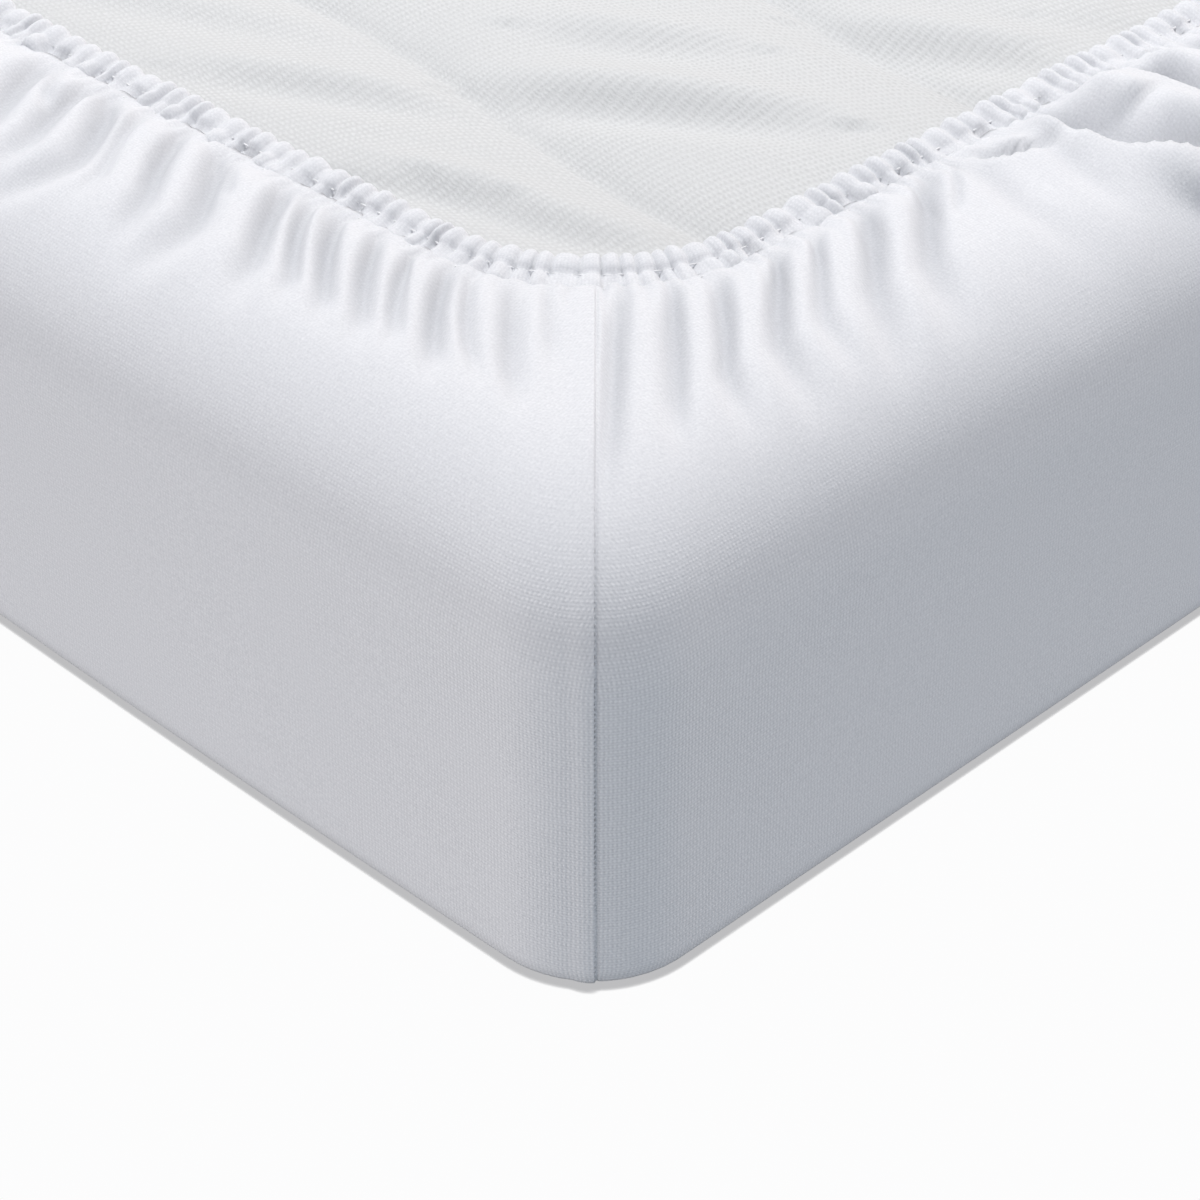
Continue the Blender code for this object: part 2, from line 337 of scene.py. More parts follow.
class Columns:
    # Places along the outer stitch row: a corner, and a distance from its seam
    def __init__(self, entries):
        self.corner = np.array([entry[0] for entry in entries])
        self.distance = np.array([entry[1] for entry in entries])
        self.kept = np.array([entry[2] for entry in entries])
        self.half = np.array([halfSides(entry[0])[0 if entry[1] < 0 else 1] for entry in entries])
        turn = self.corner * math.pi / 2
        self.cos, self.sin = np.cos(turn), np.sin(turn)
        self.signX = np.where((self.corner == 0) | (self.corner == 1), 1, -1)
        self.signY = np.where((self.corner == 1) | (self.corner == 2), 1, -1)

    def along(self, inset):
        # Signed distance from the corner seam on the rectangle at this inset
        along = np.abs(self.distance)
        if inset > stitchInset:
            stitchedArc = cornerRadius(stitchInset) * math.pi / 4
            arc = cornerRadius(inset) * math.pi / 4
            along = np.minimum(along, stitchedArc) * arc / stitchedArc + np.maximum(along - stitchedArc, 0)
        else:
            reach = sheetPlan["leanReach"]
            run = runLength(self.half, stitchInset)
            ease = (1 - np.exp(-along / reach)) / (1 - np.exp(-run / reach))
            along = along + (runLength(self.half, inset) - run) * ease
        return np.copysign(along, self.distance)

    def plan(self, inset):
        # Places and outward directions on the rectangle at this inset
        radius = cornerRadius(inset)
        along = self.along(inset)
        arc = radius * math.pi / 4
        bent = np.clip(along, -arc, arc)
        turn = bent / radius - math.pi / 4
        outX, outY = np.cos(turn), np.sin(turn)
        beyond = along - bent
        localX, localY = outX * radius - outY * beyond, outY * radius + outX * beyond
        x = self.signX * (sheetPlan["length"] / 2 - inset - radius) + self.cos * localX - self.sin * localY
        y = self.signY * (sheetPlan["width"] / 2 - inset - radius) + self.sin * localX + self.cos * localY
        return x, y, self.cos * outX - self.sin * outY, self.sin * outX + self.cos * outY, along


# ---- folds: valleys that start at the outer row of stitches, and the crowns between them

# Beside the corner seam that is seen, in millimetres: where each valley crosses the hem's layout line,
# where its straight course would be at its reach, its bend there, and the widths of its slopes away from
# the seam and towards it. Depth is a share of the crown between the valleys.
valleyColumns = ("start", "end", "bend", "reach", "far", "near", "depth", "crown")
frontValleys = (
    (10.1, 9.1, 0, 16, 3.3, 3.1, 0.45, 3.2),
    (19.2, 18.8, 0, 26, 6.1, 5.8, 0.8, 4),
    (29.7, 30.7, 0, 24, 5.1, 4.8, 0.6, 4.3),
    (35.8, 46.3, 0, 30, 7.3, 6.8, 0.95, 4.9),
    (48.1, 58.7, 0, 28, 5.6, 5.3, 0.75, 5),
    (59.4, 70.3, 0, 32, 7.3, 6.8, 0.9, 5),
    (73.6, 82.6, 0, 32, 7.3, 6.8, 0.95, 5.2),
    (83.9, 94.5, 0, 32, 6.1, 5.8, 0.85, 5.3),
    (92.2, 112, 0, 38, 8.9, 8.4, 1, 5.7),
    (110.8, 113.8, 0, 12, 4.5, 4.3, 0.5, 6.1),
    (116.5, 123.1, 23.2, 44, 10.6, 10.1, 1, 6.3),
    (131.8, 154, 0, 42, 8.4, 8, 0.9, 6.1),
    (146.7, 167.7, 0, 34, 5.1, 4.8, 0.6, 6.1),
    (158.8, 164.6, 40.3, 48, 10.6, 10.1, 1, 6.4),
    (168.5, 202.5, 0, 40, 8.4, 8, 0.9, 6.3),
    (180.3, 184.8, 0, 14, 4.5, 4.3, 0.5, 6.3),
    (187, 221.5, 0, 46, 11.2, 10.6, 1, 6.4),
    (212, 241, 0, 42, 8.9, 8.4, 0.9, 6.3),
)
endValleys = (
    (5, 2.4, 0, 44, 5.6, 3.9, 0.85, 4.3),
    (17.4, 17.4, 3, 36, 6.1, 6, 0.95, 4),
    (29.5, 31.5, 9.9, 40, 6.8, 6.6, 0.95, 4.4),
    (46.9, 46.9, 15.9, 44, 8.4, 8.2, 1, 4.9),
    (60.7, 61.5, 13.9, 40, 6.1, 6, 0.7, 4.5),
    (78.1, 87.3, 3.6, 46, 10.1, 9.8, 1, 5.2),
    (99.3, 99.3, 12.8, 44, 10.6, 10.3, 1, 5.2),
    (109.6, 111.6, 0, 16, 4, 3.9, 0.4, 4.9),
    (112.5, 156.5, 0, 44, 8.9, 8.6, 0.4, 4.6),
    (121, 128.5, 15.5, 10, 7, 5.5, 1, 6.4),
    (134.5, 174.5, 0, 40, 7.9, 7.6, 0.35, 4.8),
    (146, 200, 64.7, 58, 20, 9, 1, 16.5),
    (175.5, 235.5, 0, 38, 13, 8, 1, 12),
    (206.5, 242.5, 0, 30, 7.9, 7.6, 0.9, 5.2),
)

# The rest of the folds are drawn from these ranges, in metres
foldRule = {
    "pitch": (0.011, 0.021),
    "closer": (0.6, 0.05),  # share of the pitch beside a seam, and how far from it
    "small": (0.45, 0.06),  # share of the size at a seam, and how far off it is whole
    "reach": (0.028, 0.048),
    "far": (0.0058, 0.0100),
    "near": 1.02,  # as a share of the slope away from the seam
    "depth": (0.55, 1.0),
    "crown": (0.0050, 0.0070),
    "spread": 0.22,  # how far the lean wanders, as a share of the reach
    "middleGap": 0.012,
    "middleStill": 0.05,  # no wander this near the middle of a side
    "seed": 23,
}

hemDraw = {
    "long": 0.0022,  # how much narrower the hem is along the sides than at the corners
    "short": 0.0018,
    "from": 0.012,
    "to": 0.060,
    "over": 0.050,  # inset from which the flap follows it
}


def onShortEnd(columns):
    return columns.half < sheetPlan["length"] / 4


def drawnIn(columns):
    # How far the hem is pulled in at each column
    most = np.where(onShortEnd(columns), hemDraw["short"], hemDraw["long"])
    return most * smoothStep(hemDraw["from"], hemDraw["to"], np.abs(columns.distance))


def photoValleys(rows, side):
    found = []
    for row in rows:
        valley = dict(zip(valleyColumns, row))
        for name in valleyColumns:
            if name != "depth":
                valley[name] /= 1000
        valley["side"] = side
        found.append(valley)
    return found


def leaningEnd(start, halfSide, reach):
    # Where a valley that starts there ends, if it leans as the cloth does
    lean = sheetPlan["leanReach"]
    run = runLength(halfSide, stitchInset)
    ease = (1 - math.exp(-start / lean)) / (1 - math.exp(-run / lean))
    inset = max(stitchInset - reach, 0.0)
    return start + (runLength(halfSide, inset) - run) * ease


def ruledValleys(start, halfSide, side, chance):
    run = runLength(halfSide, stitchInset)
    found = []
    place = start
    closer, closerTo = foldRule["closer"]
    least, wholeFrom = foldRule["small"]
    while True:
        place += chance.uniform(*foldRule["pitch"]) * (closer if place < closerTo else 1.0)
        if place > run - foldRule["middleGap"]:
            return found
        small = least + (1 - least) * min(place / wholeFrom, 1.0)
        reach = chance.uniform(*foldRule["reach"])
        wander = chance.uniform(-1, 1) * foldRule["spread"] * reach
        if place > run - foldRule["middleStill"]:
            wander = 0.0
        far = chance.uniform(*foldRule["far"]) * small
        found.append({
            "start": place,
            "end": leaningEnd(place, halfSide, reach) + wander,
            "bend": 0.0,
            "reach": reach,
            "far": far,
            "near": far * foldRule["near"],
            "depth": chance.uniform(*foldRule["depth"]),
            "crown": chance.uniform(*foldRule["crown"]) * small,
            "side": side,
        })


def allValleys():
    chance = random.Random(foldRule["seed"])
    byCorner = []
    for corner in range(4):
        into, out = halfSides(corner)
        found = []
        for side, halfSide, rows in ((-1, into, frontValleys), (1, out, endValleys)):
            placed = photoValleys(rows, side) if corner == 0 else []
            start = placed[-1]["start"] if placed else 0.0
            if not (corner == 0 and side == 1):
                placed += ruledValleys(start, halfSide, side, chance)
            found += placed
        byCorner.append(found)
    return byCorner


puffShape = {
    "rise": 0.0130,  # distance over which the cloth rises out of the stitches
    "early": 0.34,  # share of the rise that starts at once
    "fall": 0.036,
    "height": 0.78,  # of a crown, as a share of its valleys' figure
    "crownReach": (0.010, 0.8),  # how far a valley's crown counts, and as a share of its slope
    "widening": (0.80, 0.45),  # of a valley's slopes, at its start and more at its reach
    "bottom": 0.90,  # how round the valleys are
    "fade": (0.68, 1.18),  # where a valley runs out, as shares of its reach
    # The shade entries set the painted shade that darkens the colour along the folds
    "shadeShift": 0.0012,  # how far past its bottom a valley is darkest
    "shadeWidth": 0.86,  # of the dark band, as a share of the slopes
    "shadeTaper": 0.30,  # how much narrower the dark band gets towards its end
    "shadeFade": (0.30, 1.25),
    "shadeRise": 1.6,  # how much sooner the shade comes than the height
}


def foldHeight(valleys, along, outwards, gathered):
    # Height over the flat flap, and the painted shade at each point, darkest down in a fold, at these
    # distances from a corner seam and from the layout line, on cloth that is gathered at the last of them
    shape = puffShape
    risen = np.clip((outwards - gathered) / shape["rise"], 0.0, 1.0)
    share = shape["early"] * (1 - (1 - risen) ** 2) + (1 - shape["early"]) * risen * risen * (3 - 2 * risen)
    top = gathered + shape["rise"]
    share = share * np.exp(-(np.maximum(outwards - top, 0) / shape["fall"]) ** 2 * 0.5)
    crown = np.zeros_like(along)
    weight = np.full_like(along, 1e-6)
    mask = np.ones_like(along)
    clear = np.ones_like(along)
    leastReach, reachShare = shape["crownReach"]
    atStart, more = shape["widening"]
    for valley in valleys:
        progress = np.clip(outwards / valley["reach"], -0.7, 1.6)
        course = valley["start"] + (valley["end"] - valley["start"]) * progress
        course = course + valley["bend"] * progress * np.abs(progress)
        off = (along - valley["side"] * course) * valley["side"]
        near = np.exp(-(off / max(leastReach, reachShare * valley["far"])) ** 2)
        crown += near * valley["crown"]
        weight += near
        progressed = np.clip(progress, 0.0, 1.0)
        wide = np.where(off > 0, valley["far"], valley["near"]) * (atStart + more * progressed)
        dip = 0.5 + 0.5 * np.cos(math.pi * np.minimum(np.abs(off) / wide, 1.0) ** shape["bottom"])
        band = wide * shape["shadeWidth"] * (1 - shape["shadeTaper"] * progressed)
        dark = 0.5 + 0.5 * np.cos(math.pi * np.minimum(np.abs(off - shape["shadeShift"]) / band, 1.0))
        dark *= 1 - smoothStep(*shape["shadeFade"], progress)
        fade = 1 - smoothStep(*shape["fade"], progress)
        mask *= 1 - valley["depth"] * dip * fade
        clear *= 1 - valley["depth"] * dark
    # Painted shade for the colour: darkest in the folds' bottoms, coming in as the cloth rises
    shade = (1 - clear) * np.clip(share * shape["shadeRise"], 0.0, 1.0)
    return shape["height"] * share * (crown / weight) * mask, shade


# ---- the sheet

sheetMesh = {
    "nearSpacing": 0.0009,  # columns where the folds are seen closest
    "nearReach": 0.265,
    "farSpacing": 0.0028,
    "sparseStep": 3,  # one column in so many goes on below the shoulder
    "flapStep": 0.0015,
    "shoulderSteps": 24,
    "denseFrom": 30,  # degrees on the shoulder from which all columns go on
    "sideSteps": 11,
    "tuckInset": 0.0705,
    # of the flap's outer edge on the short ends: how far, from and to which distance from a seam, and
    # over what width of the flap
    "sag": (0.0042, 0.070, 0.125, 0.034),
    # a slow swell of the side faces
    "swellDepth": 0.0022,
    "swellCrest": (0.450, -0.300),
    "swellLengths": (0.50, 0.53),
    "swellLean": 0.70,
    "shoulderSwell": 0.7,
    "puckers": 504,  # along the whole hem
    "puckerHeight": 0.0021,
    "puckerReach": 0.0085,
    "puckerWaves": (310, 173),  # of their unevenness
    "tuckDrop": 0.0008,  # of the edge that goes under the casing
    "tuckShare": 0.3,  # of the folds' height on it
    "wales": (0.19, 0.0),  # lean of the knit's columns on the short ends and on the long sides
    "courses": (1.0, 0.78),  # how close its rows lie there
    # how open the knit is on the short ends and the long sides: everywhere, near a corner, over what reach
    "openness": ((1.15, 3.00, 0.055), (0.26, 0.45, 0.050)),
    "openFrom": (0.045, 0.080),  # distance outwards over which it opens
    "flapOpenness": 0.16,
}

seamShape = {
    "lap": 0.00042,  # the front panel laps over the end panel
    "lapWidth": 0.0042,
    "lapSoft": 0.0026,
    "beside": 0.00008,  # a shallow dip beside the lap
    "besideAt": -0.0056,
    "besideWidth": 0.0011,
    "groove": 0.00024,
    "grooveAt": 0.0004,
    "grooveWidth": 0.00030,
}

# Columns beside a corner seam, in millimetres
seamPlaces = (0.1, 0.3, 0.5, 0.7, 0.95, 1.25, 1.6, 2.1, 2.7, 3.4, 4.2, 5.2, 6.5)


def columnPlaces():
    entries = []
    for corner in range(4):
        into, out = halfSides(corner)
        runs = {-1: runLength(into, stitchInset), 1: runLength(out, stitchInset)}
        for side in (-1, 1):
            places = [(place / 1000, True) for place in seamPlaces]
            place = places[-1][0]
            count = 0
            while True:
                close = corner == 0 and place < sheetMesh["nearReach"]
                place += sheetMesh["nearSpacing"] if close else sheetMesh["farSpacing"]
                if place > runs[side] - 0.5 * sheetMesh["farSpacing"]:
                    break
                count += 1
                places.append((place, count % sheetMesh["sparseStep"] == 0))
            if side == 1:
                places.append((runs[side], True))  # the middle of the side, once
            ordered = [(corner, side * place, kept) for place, kept in places]
            entries += ordered[::-1] if side < 0 else ordered
    return Columns(entries)


def swellAt(x, y, height):
    lean = height / sheetMesh["swellLean"]
    crest, lengths = sheetMesh["swellCrest"], sheetMesh["swellLengths"]
    alongX = np.cos(2 * math.pi * ((x - crest[0]) / lengths[0] + lean))
    alongY = np.cos(2 * math.pi * ((y - crest[1]) / lengths[1] - lean))
    return sheetMesh["swellDepth"] * (0.5 - 0.5 * alongX * alongY)


def sheetRows():
    # (inset, height, tilt, distance outwards from the stitches, swell, dense, inner)
    plan = sheetPlan
    rows = []
    lower, shoulder = plan["lowerRadius"], plan["shoulderRadius"]
    flap = stitchInset - shoulder
    arcLength = shoulder * math.pi / 2
    sideLength = plan["flapTop"] - shoulder - lower
    top, middle = plan["flapTop"], plan["flapTop"] - shoulder
    for angle in (-90, -67.5, -45, -22.5, 0):
        turn = math.radians(angle)
        rows.append((lower - lower * math.cos(turn), lower + lower * math.sin(turn), angle,
                     flap + arcLength + sideLength - lower * turn, 1.0, False, False))
    for step in range(1, sheetMesh["sideSteps"]):
        share = step / sheetMesh["sideSteps"]
        outwards = flap + arcLength + sideLength * (1 - share)
        rows.append((0.0, lower + sideLength * share, 0.0, outwards, 1.0, False, False))
    steps = sheetMesh["shoulderSteps"]
    least = sheetMesh["shoulderSwell"]
    for step in range(steps + 1):
        angle = 90 * step / steps
        turn = math.radians(angle)
        swell = math.cos(turn) * (least + (1 - least) * (1 - step / steps) ** 2)
        rows.append((shoulder - shoulder * math.cos(turn), middle + shoulder * math.sin(turn), angle,
                     flap + shoulder * (math.pi / 2 - turn), swell, angle >= sheetMesh["denseFrom"], False))
    gather = plan["gatherInset"]
    count = round((gather - shoulder) / sheetMesh["flapStep"])
    for step in range(1, count + 1):
        inset = shoulder + (gather - shoulder) * step / count
        rows.append((inset, top, 90, stitchInset - inset, 0.0, True, False))
    tuck, drop = sheetMesh["tuckInset"], sheetMesh["tuckDrop"]
    rows.append(((gather + tuck) / 2, top - drop / 2, 90, -0.006, 0.0, True, False))
    rows.append((tuck, top - drop, 90, -0.0075, 0.0, True, False))
    # The inner face, a cloth's thickness inside the outer one
    depth = plan["clothThickness"]
    rows.append((tuck, top - depth, 90, -0.0075, 0.0, True, True))
    rows.append((0.5 * (tuck + shoulder), top - depth, 90, 0.014, 0.0, False, True))
    inner = shoulder - depth
    for angle in (90, 60, 30, 0):
        turn = math.radians(angle)
        rows.append((shoulder - inner * math.cos(turn), middle + inner * math.sin(turn), angle,
                     0.06, least * math.cos(turn) if angle else 1.0, False, True))
    inner = lower - depth
    for angle in (0, -45, -90):
        turn = math.radians(angle)
        rows.append((lower - inner * math.cos(turn), lower + inner * math.sin(turn), angle,
                     0.12, 1.0, False, True))
    return rows


def seamProfile(along, outwards):
    # Step of the lapped front panel, with a shallow dip before it and a fine groove behind it
    shape = seamShape
    width, soft = shape["lapWidth"], shape["lapSoft"]
    lap = shape["lap"] * smoothStep(-width - soft, -width + soft, along)
    lap = lap * (1 - smoothStep(-0.0002, 0.0002, along))
    beside = shape["beside"] * np.exp(-((along - shape["besideAt"]) / shape["besideWidth"]) ** 2)
    groove = shape["groove"] * np.exp(-((along - shape["grooveAt"]) / shape["grooveWidth"]) ** 2)
    return (lap - beside - groove) * smoothStep(-0.006, 0.000, outwards)


def ringLength(inset):
    return 4 * (runLength(sheetPlan["length"] / 2, inset) + runLength(sheetPlan["width"] / 2, inset))


def ringPlace(columns):
    # Distance round the outer stitch row, from the first corner's seam
    halves = (sheetPlan["length"] / 2, sheetPlan["width"] / 2)
    runs = [runLength(half, stitchInset) for half in halves]
    side = 2 * (runs[0] + runs[1])
    starts = [0.0, 2 * runs[1], side, side + 2 * runs[1]]
    return np.array([starts[corner] for corner in columns.corner]) + columns.distance


def knitOpenness(columns, along, outwards):
    # The knit is stretched open on the sides, most of all near the corners
    ends, sides = sheetMesh["openness"]
    short = onShortEnd(columns)
    away = np.abs(along)
    value = np.where(short, ends[0] + ends[1] * np.exp(-(away / ends[2]) ** 2),
                     sides[0] + sides[1] * np.exp(-(away / sides[2]) ** 2))
    down = smoothStep(*sheetMesh["openFrom"], outwards)
    return sheetMesh["flapOpenness"] + (value - sheetMesh["flapOpenness"]) * down


def sheetPoints(columns, rows, valleys):
    ring = ringPlace(columns)
    whole = ringLength(stitchInset)
    wave = np.abs(np.sin(math.pi * sheetMesh["puckers"] * (ring - ribDrift(ring)) / whole))
    first, second = sheetMesh["puckerWaves"]
    wave = wave ** 0.8 * (0.7 + 0.3 * np.sin(ring * first) * np.sin(ring * second + 1))
    short = onShortEnd(columns)
    sag, sagFrom, sagTo, sagWidth = sheetMesh["sag"]
    sag = sag * short * smoothStep(sagFrom, sagTo, np.abs(columns.distance))
    drawn = drawnIn(columns)
    gathered = stitchInset - sheetPlan["gatherInset"] - drawn
    points, flats, opens, shades = [], [], [], []
    for inset, height, tilt, outwards, swell, dense, inner in rows:
        x, y, outX, outY, along = columns.plan(inset)
        follow = drawn * (0.0 if inner else smoothStep(hemDraw["over"], sheetPlan["gatherInset"], inset))
        shift = -swell * swellAt(x, y, height) - follow
        raised, shade = np.zeros_like(x), np.zeros_like(x)
        if not inner:
            distance = outwards - follow
            for corner in range(4):
                own = columns.corner == corner
                raised[own], shade[own] = foldHeight(
                    valleys[corner], along[own], distance[own], gathered[own])
            raised += seamProfile(along, distance) * (0.0 if tilt == -90 else 1.0)
            near = np.exp(-np.maximum(distance - gathered, 0.0) / sheetMesh["puckerReach"])
            raised += sheetMesh["puckerHeight"] * wave * near
            raised = np.where(distance < gathered - 0.0005, sheetMesh["tuckShare"] * raised, raised)
        turn = math.radians(tilt)
        shift = shift + raised * math.cos(turn)
        z = height + raised * math.sin(turn)
        if tilt > 0:
            z = z - sag * math.sin(turn) * np.clip((sheetPlan["gatherInset"] - inset) / sagWidth, 0, 1)
        points.append(np.stack([x + outX * shift, y + outY * shift, z], axis=1))
        radius = cornerRadius(inset)
        flat = np.sign(along) * (columns.half - np.abs(along) - inset - radius * (1 - math.pi / 4))
        flat = flat + np.where(short, sheetMesh["wales"][0], sheetMesh["wales"][1]) * outwards
        close = np.where(short, sheetMesh["courses"][0], sheetMesh["courses"][1])
        flats.append(np.stack([flat, close * outwards], axis=1))
        opens.append(knitOpenness(columns, along, np.full_like(x, outwards)))
        shades.append(shade)
    return points, flats, opens, shades


def joinRings(faces, firstIndex, secondIndex):
    # Strips between two rings of vertices; a ring that skips a column holds None there
    count = len(firstIndex)
    shared = [i for i in range(count) if firstIndex[i] is not None and secondIndex[i] is not None]
    for here, there in zip(shared, shared[1:] + [shared[0] + count]):
        span = [i % count for i in range(here, there + 1)]
        lower = [firstIndex[i] for i in span if firstIndex[i] is not None]
        upper = [secondIndex[i] for i in span if secondIndex[i] is not None]
        faces.append(lower + upper[::-1])


def makeSheet(material):
    columns = columnPlaces()
    rows = sheetRows()
    points, flats, opens, shades = sheetPoints(columns, rows, allValleys())
    kept, pairs, stretch, paintedShading, rings, total = [], [], [], [], [], 0
    for row, placed, flat, opened, shade in zip(rows, points, flats, opens, shades):
        chosen = np.ones(len(columns.kept), bool) if row[5] else columns.kept
        numbers = np.cumsum(chosen) - 1 + total
        rings.append([int(number) if use else None for number, use in zip(numbers, chosen)])
        kept.append(placed[chosen])
        pairs.append(flat[chosen])
        stretch.append(opened[chosen])
        paintedShading.append(shade[chosen])
        total += int(chosen.sum())
    faces = []
    for first, second in zip(rings, rings[1:]):
        joinRings(faces, first, second)
    middles = []
    for ring, row, reverse in ((rings[0], rows[0], True), (rings[-1], rows[-1], False)):
        loop = [number for number in ring if number is not None]
        middle = total + len(middles)
        middles.append((0.0, 0.0, row[1]))
        for here, there in zip(loop, loop[1:] + loop[:1]):
            faces.append([there, here, middle] if reverse else [here, there, middle])
    sheet = meshObject("fittedSheetCloth", np.concatenate(kept + [np.array(middles)]), faces, material)
    giveUv(sheet, np.concatenate(pairs + [np.zeros((2, 2))]))
    storeValues(sheet.data, "knitOpen", np.concatenate(stretch + [np.full(2, sheetMesh["flapOpenness"])]))
    # Painted shade for the material: how much darker the colour is made in the folds
    storeValues(sheet.data, "foldShade", np.concatenate(paintedShading + [np.zeros(2)]))
    print("sheet made:", total + 2, "points")
    return sheet


# ---- geometry nodes

def newTree(name, sockets):
    # sockets: input name -> (kind, value); the values are set on the modifier by identifier
    tree = bpy.data.node_groups.new(name, "GeometryNodeTree")
    for way in ("OUTPUT", "INPUT"):
        tree.interface.new_socket(name="Geometry", in_out=way, socket_type="NodeSocketGeometry")
    for socketName, (kind, value) in sockets.items():
        tree.interface.new_socket(name=socketName, in_out="INPUT", socket_type="NodeSocket" + kind)
    given = tree.nodes.new("NodeGroupInput")
    return tree, given.outputs


def endTree(tree, geometry, finish):
    whole = addNode(tree, "GeometryNodeRealizeInstances", {0: geometry})
    smooth = addNode(tree, "GeometryNodeSetShadeSmooth", {"Geometry": whole.outputs[0]})
    dressed = addNode(tree, "GeometryNodeSetMaterial", {"Geometry": smooth.outputs[0], "Material": finish})
    result = tree.nodes.new("NodeGroupOutput")
    tree.links.new(dressed.outputs[0], result.inputs[0])


def runTree(start, tree, sockets):
    modifier = start.modifiers.new("nodes", "NODES")
    modifier.node_group = tree
    for item in tree.interface.items_tree:
        if item.in_out == "INPUT" and item.name in sockets:
            modifier[item.identifier] = sockets[item.name][1]
    graph = bpy.context.evaluated_depsgraph_get()
    made = bpy.data.meshes.new_from_object(start.evaluated_get(graph), depsgraph=graph)
    start.modifiers.remove(modifier)
    old = start.data
    start.data = made
    bpy.data.meshes.remove(old)
    return start


# ---- the hem: gathered elastic casing and its two rows of stitches

hemCasing = {
    "paintedCreaseShade": (0.006, 0.16),  # painted shade in the hollows: the cloth is darkened less here than on the flap
    "ribs": 504,
    "ribSteps": 8,
    "pathInset": 0.073,
    "ribHeight": 0.0023,
    "puckerHeight": 0.0022,
    "foldRise": 0.0022,  # how far the folds of the flap reach into the band
    "lumpHeight": 0.0020,  # fine unevenness of the gathered band
    "lumpScale": 400.0,
    "ribSharpness": (1.05, 0.45),  # of the round ribs on the long sides, and of the flat ones
    "ribBase": 0.55,  # share of a rib's height that lies on the profile
    "ribsUneven": (0.78, 1.18),
    "bandUneven": (0.10, 1.45),
    "endBand": 0.35,  # puckers on the short ends, as a share
    "cornerBand": 0.7,  # how far they go down to that beside the corner seams
    "flatFrom": (0.004, 0.045),  # distance from a seam over which the short ends' ribs turn flat
    "drawn": ((69.0, 1.0), (74.2, 0.43), (79.0, 0.0)),  # inset, share of the hem's draw
    "stitchPull": 0.0009,  # at the corners and along the short ends
    "endRibs": 0.42,  # rib height on the short ends, as a share
    "cornerRibs": 0.62,
    "cornerSharpness": 0.45,
    "cornerReach": 0.05,
    "pullReach": 0.06,
    "foldFull": (0.004, 1.3, 0.75),  # fold height that counts as one, the most, and the middle
    "ribLumps": 0.20,
    "openness": 1.6,  # of the knit, beside the flap's
    "endDrop": 0.0007,
    "drift": ((0.0009, 0.031, 0.0), (0.0007, 0.0173, 1.0), (0.0012, 0.083, 2.0)),  # amount, length, start
    "seed": 7,
    # inset from the side faces, height over the flap (mm), how far the round ribs, the flat ones,
    # the puckers and the pull of the inner stitches show there
    "profile": (
        (66.9, -0.45, 0, 0, 0.3, 0), (67.6, -0.1, 0, 0, 0.7, 0), (68.5, 0.25, 0.05, 0, 1, 0),
        (69.7, 0.45, 0.06, 0.05, 1, 0), (71, 0.55, 0.12, 0.1, 1, 0), (72.4, 0.65, 0.28, 0.2, 0.8, 0.1),
        (73.4, 0.8, 0.55, 0.4, 0.5, 0.5), (74.2, 1, 0.85, 0.7, 0.2, 1), (75, 1.25, 0.95, 1, 0.05, 0.5),
        (75.8, 1.45, 1, 1, 0, 0.1), (76.7, 1.65, 1, 0.95, 0, 0), (77.8, 1.85, 1, 0.8, 0, 0),
        (78.9, 1.95, 1, 0.6, 0, 0), (79.9, 1.85, 1, 0.35, 0, 0), (80.8, 1.5, 0.9, 0.2, 0, 0),
        (81.5, 0.9, 0.65, 0.1, 0, 0), (81.8, 0.05, 0.35, 0.05, 0, 0), (81.4, -0.75, 0.1, 0, 0, 0),
        (79.8, -1.3, 0, 0, 0, 0), (76, -1.4, 0, 0, 0, 0), (71, -1.4, 0, 0, 0, 0),
        (67.4, -1.3, 0, 0, 0, 0),
    ),
}


def ribDrift(place):
    # Sideways shift of the ribs, so that their spacing is uneven
    return sum(amount * np.sin(2 * math.pi * place / length + start)
               for amount, length, start in hemCasing["drift"])


def ringColumns(places):
    # Columns at these distances round the outer stitch row, from the first corner's seam
    runs = [2 * runLength(halfSides(corner)[1], stitchInset) for corner in range(4)]
    entries = []
    for place in places:
        place %= sum(runs)
        corner = 0
        while place > runs[corner]:
            place -= runs[corner]
            corner += 1
        if place < runs[corner] / 2:
            entries.append((corner, place, True))
        else:
            entries.append(((corner + 1) % 4, place - runs[corner], True))
    return Columns(entries)


def closedEdges(count, start=0):
    return [(start + i, start + (i + 1) % count) for i in range(count)]


def hemPath(name, places, inset, height, drawn=0.0):
    # A closed line round the hem, drawn in by this share
    columns = ringColumns(places)
    x, y, outX, outY = columns.plan(inset)[:4]
    x, y = x - outX * drawnIn(columns) * drawn, y - outY * drawnIn(columns) * drawn
    mesh = bpy.data.meshes.new(name)
    count = len(x)
    mesh.from_pydata([(x[i], y[i], height) for i in range(count)], closedEdges(count), [])
    return meshHeld(name, mesh)


